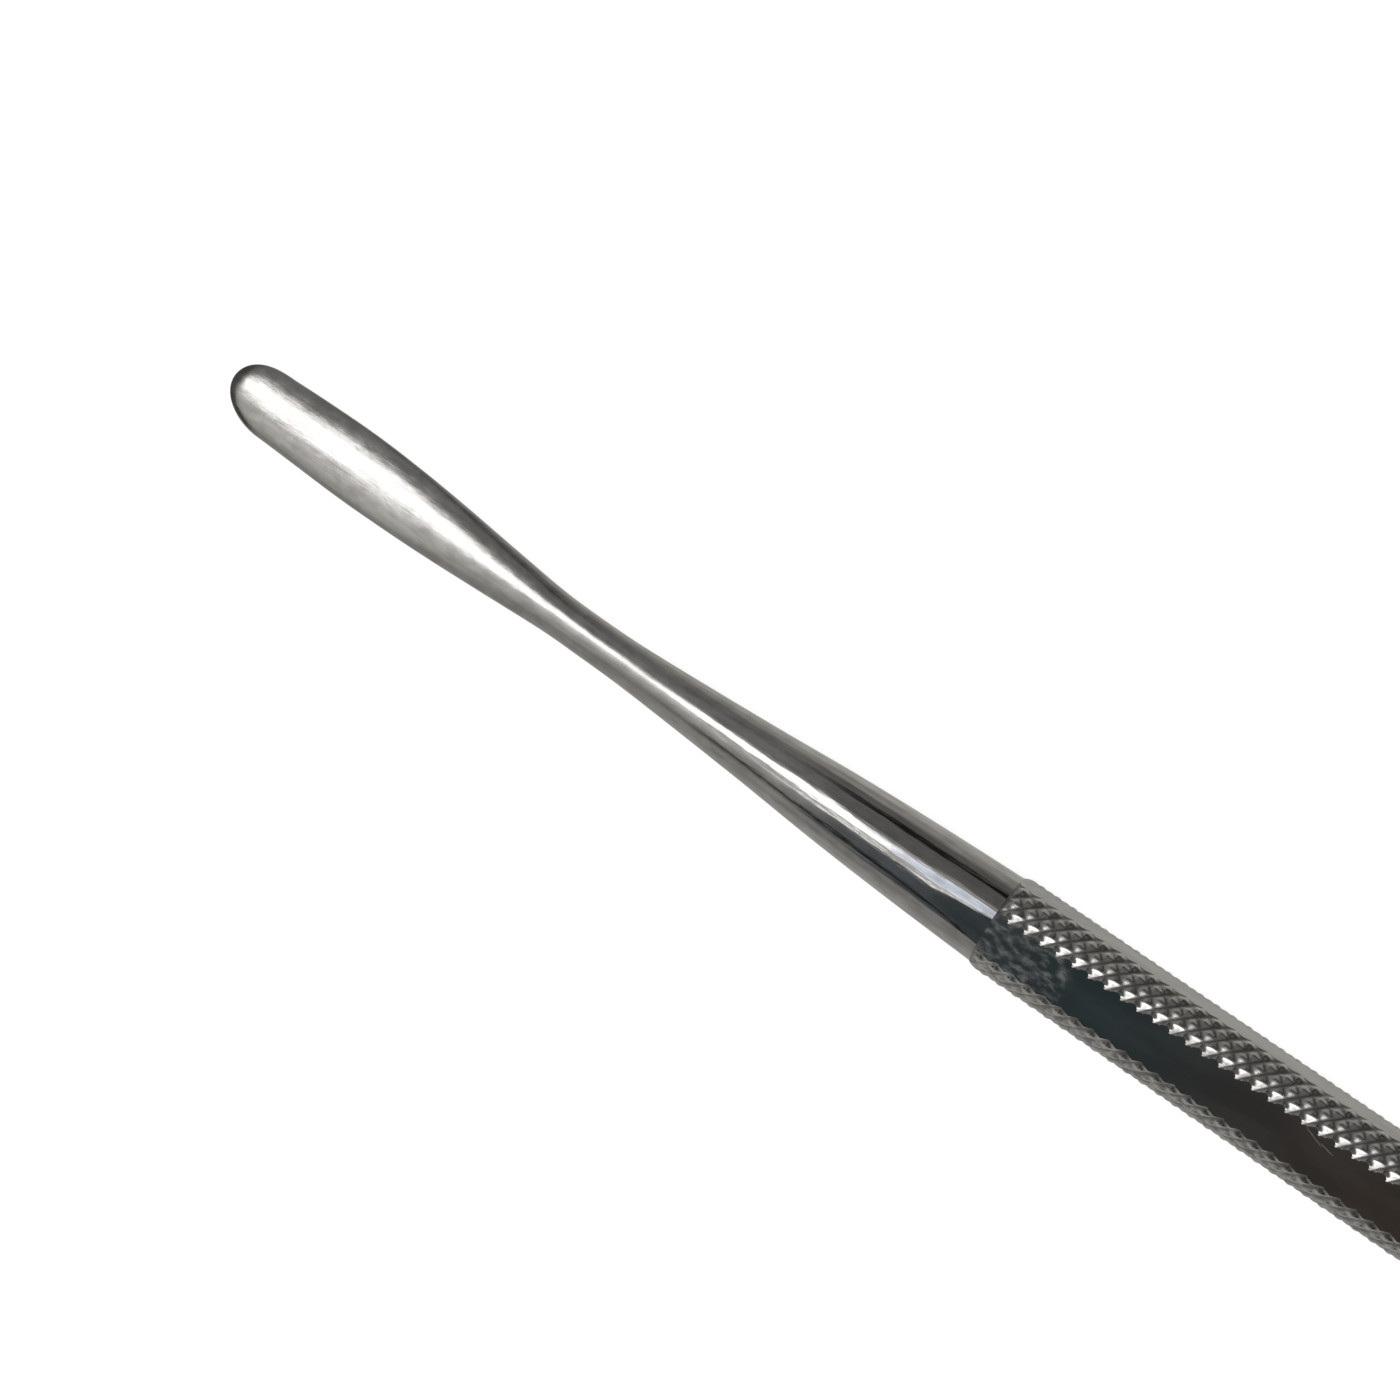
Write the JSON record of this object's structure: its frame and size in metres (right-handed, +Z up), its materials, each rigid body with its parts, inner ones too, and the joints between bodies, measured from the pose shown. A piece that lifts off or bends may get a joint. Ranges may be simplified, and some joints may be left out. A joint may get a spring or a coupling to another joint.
{
  "type": "clay modeling tool",
  "caption": "Slim steel hand tool for modelling clay: a knurled bar handle with ground flats, a rounded leaf blade at one end and a narrow pointed blade at the other.",
  "frame": {"origin": "on the floor, under the middle of the tool's length and width", "axes": "+X along the handle towards the spear tip, so the leaf tip points to -X; +Y to the side that the leaf blade is set over to; +Z up, out of the handle's broad upper flat"},
  "size_m": [0.1848, 0.0062, 0.0057],
  "materials": {
    "handle_steel": "stainless steel, diamond knurled, with four ground and lightly scratched flats",
    "tip_steel": "stainless steel, polished along the shank and satin on the blade"
  },
  "bodies": {
    "root": {"handle": "handle_steel", "leaf_tip": "tip_steel", "spear_tip": "tip_steel"}
  },
  "joints": []
}
